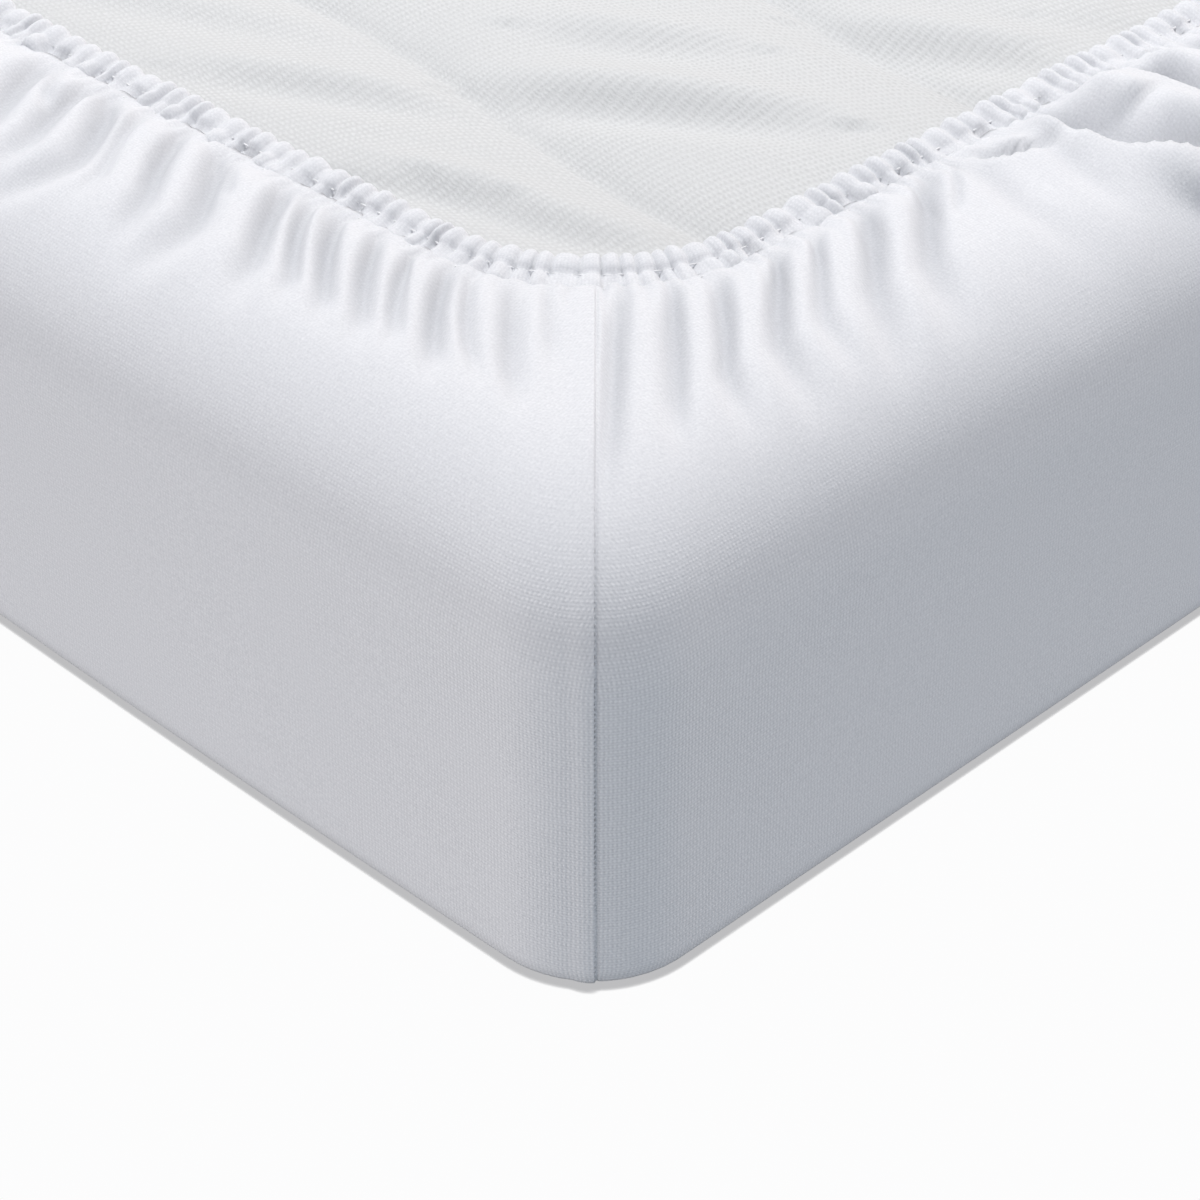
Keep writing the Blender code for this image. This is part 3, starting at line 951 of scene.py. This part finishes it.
def casingTree(sockets):
    tree, given = newTree("hemCasingNodes", sockets)

    def stored(name):
        node = addNode(tree, "GeometryNodeInputNamedAttribute", {"Name": name}, data_type="FLOAT")
        return node.outputs[0]

    step = addNode(tree, "GeometryNodeInputIndex").outputs[0]
    phase = calc(tree, "DIVIDE", calc(tree, "MODULO", step, given["ribSteps"]), given["ribSteps"])
    rib = calc(tree, "FLOOR", calc(tree, "DIVIDE", calc(tree, "ADD", step, 0.5), given["ribSteps"]))
    wave = calc(tree, "SINE", calc(tree, "MULTIPLY", phase, math.pi))
    wave = calc(tree, "POWER", wave, stored("sharpness"))
    path = given["Geometry"]
    for extra, kind in enumerate(("rib", "pucker")):
        uneven = addNode(tree, "FunctionNodeRandomValue", data_type="FLOAT")
        values = {"Min": given[kind + "Low"], "Max": given[kind + "High"], "ID": rib,
                  "Seed": calc(tree, "ADD", given["seed"], extra)}
        for key, value in values.items():
            tree.links.new(value, usable(uneven.inputs, key))
        kept = addNode(tree, "GeometryNodeStoreNamedAttribute", {"Geometry": path, "Name": kind + "Wave"},
                       data_type="FLOAT", domain="POINT")
        height = calc(tree, "MULTIPLY", wave, usable(uneven.outputs, "Value"))
        tree.links.new(height, usable(kept.inputs, "Value"))
        path = kept.outputs[0]
    curve = addNode(tree, "GeometryNodeMeshToCurve", {"Mesh": path}).outputs[0]
    upright = addNode(tree, "GeometryNodeSetCurveNormal", {"Curve": curve}, mode="Z_UP").outputs[0]
    section = addNode(tree, "GeometryNodeObjectInfo", {"Object": given["profile"]}).outputs["Geometry"]
    section = addNode(tree, "GeometryNodeMeshToCurve", {"Mesh": section}).outputs[0]
    tube = addNode(tree, "GeometryNodeCurveToMesh", {"Curve": upright, "Profile Curve": section}).outputs[0]
    # The ribs' share of the profile, between the round kind and the flat kind
    flatness = stored("flatness")
    ribShare = calc(tree, "SUBTRACT", stored("flatShare"), stored("ribShare"))
    ribShare = calc(tree, "MULTIPLY_ADD", ribShare, flatness, stored("ribShare"))
    ribs = calc(tree, "SUBTRACT", stored("ribWave"), given["ribBase"])
    ribs = product(tree, ribShare, ribs, given["ribHeight"], stored("fullness"))
    puckers = calc(tree, "SUBTRACT", stored("puckerWave"), given["ribBase"])
    puckers = product(tree, puckers, given["puckerHeight"], stored("puckerShare"), stored("bandFullness"))
    lumps = addNode(tree, "ShaderNodeTexNoise", {"Scale": given["lumpScale"], "Detail": 2.0}).outputs[0]
    lumpShare = calc(tree, "MULTIPLY_ADD", stored("ribShare"), hemCasing["ribLumps"], stored("puckerShare"))
    lumpShare = calc(tree, "MULTIPLY", given["lumpHeight"], lumpShare)
    lumps = calc(tree, "MULTIPLY", calc(tree, "SUBTRACT", lumps, 0.5), lumpShare)
    folds = product(tree, stored("foldRise"), given["foldRise"], stored("puckerShare"))
    lumps = calc(tree, "ADD", lumps, folds)
    drop = product(tree, flatness, given["endDrop"], stored("ribShare"))
    drop = calc(tree, "MULTIPLY_ADD", stored("pull"), stored("pullShare"), drop)
    lift = calc(tree, "ADD", calc(tree, "ADD", ribs, puckers), calc(tree, "SUBTRACT", lumps, drop))
    offset = scaled(tree, addNode(tree, "GeometryNodeInputNormal").outputs[0], lift)
    raised = addNode(tree, "GeometryNodeSetPosition", {"Geometry": tube, "Offset": offset}).outputs[0]
    endTree(tree, raised, given["finish"])
    return tree


def givePathStyle(path, columns):
    # Round ribs on the long sides, flat ones on the short ends, upright narrow ones at the corners
    look = hemCasing
    away = np.abs(columns.distance)
    atCorner = np.exp(-(away / look["cornerReach"]) ** 2)
    flatness = onShortEnd(columns).astype(float) * smoothStep(*look["flatFrom"], away)
    fullness = 1 - (1 - look["endRibs"]) * flatness
    fullness -= (1 - look["cornerRibs"]) * atCorner
    rounded, flat = look["ribSharpness"]
    sharpness = rounded + (flat - rounded) * flatness
    sharpness = np.minimum(sharpness, rounded - look["cornerSharpness"] * atCorner)
    gathered = stitchInset - sheetPlan["gatherInset"] - drawnIn(columns)
    beyond = gathered + puffShape["rise"]
    folds = np.zeros_like(beyond)
    along = columns.along(stitchInset)
    for corner, valleys in enumerate(allValleys()):
        own = columns.corner == corner
        folds[own] = foldHeight(valleys, along[own], beyond[own], gathered[own])[0]
    full, most, middle = look["foldFull"]
    styles = {
        "flatness": flatness,
        "pull": look["stitchPull"] * np.maximum(flatness, np.exp(-(away / look["pullReach"]) ** 2)),
        "bandFullness": 1 - (1 - look["endBand"]) * np.maximum(flatness, look["cornerBand"] * atCorner),
        "fullness": fullness,
        "sharpness": sharpness,
        "foldRise": np.clip(folds / full, 0, most) - middle,
    }
    for name, values in styles.items():
        storeValues(path.data, name, values)


def makeCasing(material):
    look = hemCasing
    pathAt = look["pathInset"] * 1000
    profile = bpy.data.meshes.new("hemProfile")
    rows = look["profile"][::-1]
    points = [((pathAt - row[0]) / 1000, -row[1] / 1000, 0.0) for row in rows]
    profile.from_pydata(points, closedEdges(len(rows)), [])
    for place, name in enumerate(("ribShare", "flatShare", "puckerShare", "pullShare")):
        storeValues(profile, name, [row[place + 2] for row in rows])
    profileObject = meshHeld("hemProfile", profile)
    count = look["ribs"] * look["ribSteps"]
    length = ringLength(stitchInset)
    even = np.arange(count) / count * length
    places = even + ribDrift(even)
    casing = hemPath("hemCasing", places, look["pathInset"], sheetPlan["flapTop"])
    givePathStyle(casing, ringColumns(places))
    sockets = {
        "profile": ("Object", profileObject),
        "ribLow": ("Float", look["ribsUneven"][0]),
        "ribHigh": ("Float", look["ribsUneven"][1]),
        "puckerLow": ("Float", look["bandUneven"][0]),
        "puckerHigh": ("Float", look["bandUneven"][1]),
        "seed": ("Int", look["seed"]),
        "finish": ("Material", material),
    }
    for name in ("ribSteps", "ribHeight", "puckerHeight", "foldRise", "lumpHeight", "lumpScale", "endDrop",
                 "ribBase"):
        sockets[name] = ("Float", float(look[name]))
    runTree(casing, casingTree(sockets), sockets)
    bpy.data.objects.remove(profileObject)
    drawCasing(casing, ringColumns(places), [row[0] for row in rows])
    casingUv(casing, places, points)
    print("hem casing made:", len(casing.data.vertices), "points")
    return casing


def drawCasing(casing, columns, insets):
    # The band follows the flap's edge inwards along the sides
    outX, outY = columns.plan(hemCasing["pathInset"])[2:4]
    share = np.interp(insets, *zip(*hemCasing["drawn"]))
    move = drawnIn(columns)[:, None] * share[None, :]
    places = np.empty(len(casing.data.vertices) * 3)
    casing.data.vertices.foreach_get("co", places)
    places = places.reshape(len(outX), len(insets), 3)
    places[:, :, 0] -= outX[:, None] * move
    places[:, :, 1] -= outY[:, None] * move
    casing.data.vertices.foreach_set("co", places.ravel())
    casing.data.update()


def casingUv(casing, places, points):
    # The knit runs on round the hem: one place for each path point, one height for each profile point
    steps = [math.dist(points[i], points[i - 1]) if i else 0.0 for i in range(len(points))]
    height = np.cumsum(steps)
    pairs = np.stack(np.meshgrid(places, height, indexing="ij"), axis=-1).reshape(-1, 2)
    giveUv(casing, pairs)
    openness = sheetMesh["flapOpenness"] * hemCasing["openness"]
    storeValues(casing.data, "knitOpen", np.full(len(pairs), openness))


hemStitches = {
    "spacing": 0.0029,
    "length": 0.0026,
    "thickness": 0.00050,
    # inset, height over the flap, share of the hem's draw
    "rows": ((0.0676, 0.00020, 1.0), (0.0742, 0.00010, 0.43)),
    "pathPoints": 1400,
    "segments": 6,
    "rings": 5,
    "turn": 0.16,  # how far a stitch may lie askew
    "seed": 3,
}


def stitchTree(sockets):
    tree, given = newTree("hemStitchNodes", sockets)
    curve = addNode(tree, "GeometryNodeMeshToCurve", {"Mesh": given["Geometry"]}).outputs[0]
    points = addNode(tree, "GeometryNodeCurveToPoints",
                     {"Curve": curve, "Length": given["spacing"]}, mode="LENGTH")
    aligned = addNode(tree, "FunctionNodeAlignRotationToVector",
                      {"Vector": points.outputs["Tangent"]}, axis="X")
    uneven = addNode(tree, "FunctionNodeRandomValue", data_type="FLOAT_VECTOR")
    low = addNode(tree, "ShaderNodeCombineXYZ", {2: calc(tree, "MULTIPLY", given["turn"], -1.0)}).outputs[0]
    high = addNode(tree, "ShaderNodeCombineXYZ", {2: given["turn"]}).outputs[0]
    for key, value in (("Min", low), ("Max", high), ("Seed", given["seed"])):
        tree.links.new(value, usable(uneven.inputs, key))
    turned = addNode(tree, "FunctionNodeRotateRotation", {0: aligned.outputs[0], 1: uneven.outputs[0]},
                     rotation_space="LOCAL")
    bead = addNode(tree, "GeometryNodeMeshUVSphere",
                   {"Segments": given["segments"], "Rings": given["rings"], "Radius": 0.5})
    size = addNode(tree, "ShaderNodeCombineXYZ",
                   {0: given["length"], 1: given["thickness"], 2: given["thickness"]})
    placed = addNode(tree, "GeometryNodeInstanceOnPoints",
                     {"Points": points.outputs[0], "Instance": bead.outputs[0],
                      "Rotation": turned.outputs[0], "Scale": size.outputs[0]})
    endTree(tree, placed.outputs[0], given["finish"])
    return tree


def makeStitches(material):
    look = hemStitches
    length = ringLength(stitchInset)
    count = look["pathPoints"]
    even = np.arange(count) / count * length
    paths = [hemPath("hemStitches", even, inset, sheetPlan["flapTop"] + height, drawn)
             for inset, height, drawn in look["rows"]]
    first, second = paths
    # Both rows in one mesh, so that they are one piece
    points = [v.co[:] for path in paths for v in path.data.vertices]
    joined = bpy.data.meshes.new("hemStitches")
    joined.from_pydata(points, closedEdges(count) + closedEdges(count, count), [])
    first.data = joined
    bpy.data.objects.remove(second)
    sockets = {name: ("Float", look[name]) for name in ("spacing", "length", "thickness", "turn")}
    sockets.update({name: ("Int", look[name]) for name in ("segments", "rings", "seed")})
    sockets["finish"] = ("Material", material)
    runTree(first, stitchTree(sockets), sockets)
    print("hem stitches made:", len(first.data.vertices), "points")
    return first


# ---- the mattress, its quilted underside up

mattressPad = {
    "inset": 0.0046,
    "bottom": 0.0021,
    "top": 0.1173,
    "edgeRadius": 0.034,
    "lowerBevel": 0.012,
    "edgeSteps": 8,
    "nearStep": 0.0022,
    "farStep": 0.0065,
    "nearFrom": 0.205,  # along the length, where the fine grid starts
    "seamPitch": 0.100,
    "seamDepth": 0.0048,
    "seamReach": 0.009,
    "crownDepth": 0.0016,
    "firstSeam": -0.161,
    "seamWave": (0.009, 0.312, 0.349),  # sideways swing, length, place of a crest
    "rippleSeed": 5,
    # elsewhere: count, lengths, angles, widths, heights
    "ripples": (46, (0.030, 0.075), (20, 46), (0.0060, 0.0085), (0.0012, 0.0020)),
    "ripplesKeepOff": (0.28, -0.03),
    # seen near the corner: points along a slope (mm), width and height (mm)
    "seenRipples": (
        (((355, -205), (378, -192), (408, -175), (426, -165)), 6.5, 2.2),
        (((414, -157), (442, -140), (464, -127), (492, -111)), 7.5, 3.3),
        (((448, -200), (470, -196), (487, -192), (508, -183)), 6.5, 2.4),
        (((450, -68), (485, -54), (514, -40)), 7.0, 2.6),
        (((415, -216), (439, -206), (458, -196)), 6.0, 1.9),
        (((402, -124), (427, -110), (448, -95)), 7.0, 2.0),
        (((300, -196), (345, -175), (368, -162)), 7.0, 1.4),
        (((330, -130), (372, -108), (398, -90)), 7.5, 1.4),
    ),
    "rippleRoom": (0.083, 0.100),  # waves rise above the hem's level only inside it
    "rippleLimits": (-0.0042, 0.0032),
    "rippleArea": (0.52, 0.24),  # half the length and width over which they are strewn
    "edgeFade": 0.030,  # the quilting settles over this width towards the edges
    "sideLevels": (0.060,),
}


def rippleHeight(x, y, line, width, height):
    # A slope that rises away from the corner across a bent line, and settles again behind it
    best = np.full(x.shape, 1e9)
    signed = np.zeros(x.shape)
    along = np.zeros(x.shape)
    total = sum(math.dist(a, b) for a, b in zip(line, line[1:]))
    done = 0.0
    for (x0, y0), (x1, y1) in zip(line, line[1:]):
        length = math.hypot(x1 - x0, y1 - y0)
        dx, dy = (x1 - x0) / length, (y1 - y0) / length
        place = np.clip((x - x0) * dx + (y - y0) * dy, 0, length)
        offX, offY = x - x0 - dx * place, y - y0 - dy * place
        away = np.hypot(offX, offY)
        nearer = away < best
        best = np.where(nearer, away, best)
        signed = np.where(nearer, np.copysign(away, dx * (y - y0) - dy * (x - x0)), signed)
        along = np.where(nearer, done + place, along)
        done += length
    ends = np.sqrt(np.clip(np.sin(math.pi * np.clip(along / total * 0.92 + 0.04, 0, 1)), 0, 1))
    rise = signed / width
    return height * ends * rise * np.exp(0.5 - rise * rise / 2) * np.exp(-(best / (3 * width)) ** 4)


def quiltDrop(x, y):
    swing, length, crest = mattressPad["seamWave"]
    straight = y - swing * np.cos(2 * math.pi * (x - crest) / length)
    share = (straight - mattressPad["firstSeam"]) / mattressPad["seamPitch"] % 1.0
    away = np.minimum(share, 1 - share) * mattressPad["seamPitch"]
    dip = np.exp(-away / mattressPad["seamReach"])
    crown = np.sin(math.pi * share)
    return mattressPad["seamDepth"] * dip + mattressPad["crownDepth"] * (1 - crown), 1 - dip


def mattressLines(half, fine):
    radius, steps = mattressPad["edgeRadius"], mattressPad["edgeSteps"]
    flat = half - radius
    edge = [flat + radius * math.tan(math.radians(45 * i / steps)) for i in range(steps + 1)]
    inner = []
    place = -flat
    while place < flat - 1e-6:
        inner.append(place)
        place += mattressPad["nearStep"] if place > fine else mattressPad["farStep"]
    if flat - inner[-1] < 0.001:
        inner.pop()
    return np.array([-value for value in edge[:0:-1]] + inner + edge)


def makeMattress(material):
    look = mattressPad
    halfX = sheetPlan["length"] / 2 - look["inset"]
    halfY = sheetPlan["width"] / 2 - look["inset"]
    radius, steps = look["edgeRadius"], look["edgeSteps"]
    xs, ys = mattressLines(halfX, look["nearFrom"]), mattressLines(halfY, -1.0)
    gridX, gridY = np.meshgrid(xs, ys, indexing="ij")

    def rounded(px, py, pz):
        # The outer box, bent round its edges
        cx = np.clip(px, -halfX + radius, halfX - radius)
        cy = np.clip(py, -halfY + radius, halfY - radius)
        cz = np.minimum(pz, look["top"] - radius)
        dx, dy, dz = px - cx, py - cy, pz - cz
        size = np.maximum(np.sqrt(dx * dx + dy * dy + dz * dz), 1e-9)
        scale = np.where(size > 1e-6, radius / size, 0)
        return cx + dx * scale, cy + dy * scale, cz + dz * scale

    topX, topY, topZ = rounded(gridX, gridY, np.full(gridX.shape, look["top"]))
    room = np.minimum(halfX - radius - np.abs(topX), halfY - radius - np.abs(topY))
    fade = smoothStep(0.0, look["edgeFade"], room)
    drop, crown = quiltDrop(topX, topY)
    height = np.zeros(topX.shape)
    for line, width, rise in look["seenRipples"]:
        line = [(a / 1000, b / 1000) for a, b in line]
        height += rippleHeight(topX, topY, line, width / 1000, rise / 1000)
    chance = random.Random(look["rippleSeed"])
    count, lengths, angles, widths, heights = look["ripples"]
    for number in range(count):
        x, y = (chance.uniform(-half, half) for half in look["rippleArea"])
        length, turn = chance.uniform(*lengths), math.radians(chance.uniform(*angles))
        width, rise = chance.uniform(*widths), chance.uniform(*heights)
        if x > look["ripplesKeepOff"][0] and y < look["ripplesKeepOff"][1]:
            continue
        line = [(x, y), (x + length * math.cos(turn), y + length * math.sin(turn))]
        height += rippleHeight(topX, topY, line, width, rise)
    height *= np.sqrt(crown)
    inside = np.minimum(halfX - np.abs(topX), halfY - np.abs(topY))
    room = smoothStep(look["rippleRoom"][0], look["rippleRoom"][1], inside)
    lowest, highest = look["rippleLimits"]
    height = np.clip(height, lowest, 0.0) + np.clip(height, 0, highest) * room
    topZ = topZ + fade * (height - drop)
    count = len(xs) * len(ys)
    number = np.arange(count).reshape(len(xs), len(ys))
    points = list(np.stack([topX.ravel(), topY.ravel(), topZ.ravel()], axis=1))
    corners = (number[:-1, :-1], number[1:, :-1], number[1:, 1:], number[:-1, 1:])
    faces = np.stack([part.ravel() for part in corners], axis=1).tolist()
    rim = [*number[:, 0], *number[-1, 1:], *number[-2::-1, -1], *number[0, -2:0:-1]]
    rim = [int(n) for n in rim]
    rimX, rimY = gridX.ravel()[rim], gridY.ravel()[rim]
    ring = rim
    levels = [look["top"] - radius + radius * math.tan(math.radians(45 * i / 6)) for i in range(5, -1, -1)]
    bevel = look["lowerBevel"]
    levels += [*look["sideLevels"], look["bottom"] + bevel]
    rings = [np.stack(rounded(rimX, rimY, np.full(len(rim), level)), axis=1) for level in levels]
    x, y = rings[-1][:, 0], rings[-1][:, 1]
    for turn in (math.pi / 4, math.pi / 2):
        inwards = bevel * (1 - math.cos(turn))
        z = np.full(len(rim), look["bottom"] + bevel * (1 - math.sin(turn)))
        rings.append(np.stack([x * (1 - inwards / halfX), y * (1 - inwards / halfY), z], axis=1))
    for placed in rings:
        following = list(range(len(points), len(points) + len(rim)))
        points += list(placed)
        joinLoops(faces, ring, following)
        ring = following
    points.append((0, 0, look["bottom"]))
    for k in range(len(rim)):
        faces.append((ring[k], len(points) - 1, ring[(k + 1) % len(rim)]))
    pad = meshObject("mattressPad", points, faces, material)
    places = np.array(points)
    giveUv(pad, places[:, :2] + places[:, 2:3] * 0.7)  # the height keeps the knit going down the sides
    print("mattress made:", len(points), "points")
    return pad


# ---- studio

studio = {
    "floorSize": 60.0,
    "floorLevel": -0.0002,
    "floorColour": (0.975, 0.975, 0.978),
    "contactShadowColour": (0.51, 0.51, 0.52),  # painted shadow: the floor's colour in the slim shadow at the foot of the sides
    "contactReach": 0.0027,
    "contactShare": (0.80, 0.97),
    "background": (0.97, 0.97, 0.975),
    # soft lights round the object: direction, how narrow, colour
    "softLights": (
        ((-0.30, -0.95, -0.05), 3.0, (1.800, 1.760, 1.770)),
        ((0.95, 0.30, -0.05), 3.0, (0.545, 0.710, 0.860)),
        ((0.50, 0.80, 0.15), 3.0, (0.990, 0.780, 0.635)),
        ((0.00, 0.00, 1.00), 2.0, (0.340, 0.340, 0.360)),
    ),
    "keyPlace": (-0.109, 0.368, 1.808),
    "keyAim": (0.50, -0.20, 0.10),
    "keySize": 0.45,
    "keyPower": 27.8,
}


def makeFloor():
    half = studio["floorSize"] / 2
    material, tree, shader = newMaterial("paleFloor")
    shader.inputs["Base Color"].default_value = (0, 0, 0, 1)
    shader.inputs["Roughness"].default_value = 0.9
    shader.inputs["Specular IOR Level"].default_value = 0.0
    shader.inputs["Emission Strength"].default_value = 1.0
    # Painted shadow: the floor's glow turns grey where the sides stand close
    nearness = addNode(tree, "ShaderNodeAmbientOcclusion", {"Distance": studio["contactReach"]}, samples=12)
    low, high = studio["contactShare"]
    share = addNode(tree, "ShaderNodeMapRange",
                    {"Value": nearness.outputs["AO"], "From Min": low, "From Max": high})
    tone = mixed(tree, share.outputs[0], (*studio["contactShadowColour"], 1), (*studio["floorColour"], 1))
    tree.links.new(tone, shader.inputs["Emission Color"])
    level = studio["floorLevel"]
    points = [(a * half, b * half, level) for a, b in ((-1, -1), (1, -1), (1, 1), (-1, 1))]
    floor = meshObject("floor", points, [(0, 1, 2, 3)], material)
    floor.visible_diffuse = False
    floor.visible_glossy = False


def makeWorld():
    world = bpy.data.worlds.new("studio")
    bpy.context.scene.world = world
    world.use_nodes = True
    tree = world.node_tree
    direction = addNode(tree, "ShaderNodeTexCoord").outputs["Generated"]
    total = None
    for place, narrow, colour in studio["softLights"]:
        length = math.sqrt(sum(part * part for part in place))
        towards = tuple(part / length for part in place)
        facing = addNode(tree, "ShaderNodeVectorMath", {0: direction, 1: towards}, operation="DOT_PRODUCT")
        share = calc(tree, "MAXIMUM", facing.outputs["Value"], 0.0)
        part = scaled(tree, colour, calc(tree, "POWER", share, narrow))
        if total is None:
            total = part
        else:
            total = addNode(tree, "ShaderNodeVectorMath", {0: total, 1: part}, operation="ADD").outputs[0]
    seen = addNode(tree, "ShaderNodeLightPath").outputs["Is Camera Ray"]
    whole = mixed(tree, seen, total, (*studio["background"], 1))
    tree.links.new(whole, tree.nodes["Background"].inputs["Color"])


def makeKeyLight():
    data = bpy.data.lights.new("key", "AREA")
    data.shape = "DISK"
    data.size = studio["keySize"]
    data.energy = studio["keyPower"]
    light = bpy.data.objects.new("key", data)
    bpy.context.scene.collection.objects.link(light)
    light.location = studio["keyPlace"]
    aim = Vector(studio["keyAim"]) - Vector(studio["keyPlace"])
    light.rotation_euler = aim.to_track_quat("-Z", "Y").to_euler()


# ---- putting it together

jersey = knitMaterial("whiteJersey", jerseyLook)
casingLook = {**jerseyLook, "paintedCreaseShade": hemCasing["paintedCreaseShade"], "foldPaintedShade": None}
casingJersey = knitMaterial("whiteJerseyCasing", casingLook)
towelling = knitMaterial("towellingKnit", towelLook)
thread = threadMaterial("sewingThread", threadLook)
makeCamera()
sheet = makeSheet(jersey)
casing = makeCasing(casingJersey)
stitches = makeStitches(thread)
mattress = makeMattress(towelling)
for piece in (sheet, casing, stitches, mattress):
    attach(piece, "root")
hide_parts("fitted_sheet")
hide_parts("mattress")
makeFloor()
makeWorld()
makeKeyLight()
bpy.context.scene.view_settings.view_transform = "Standard"
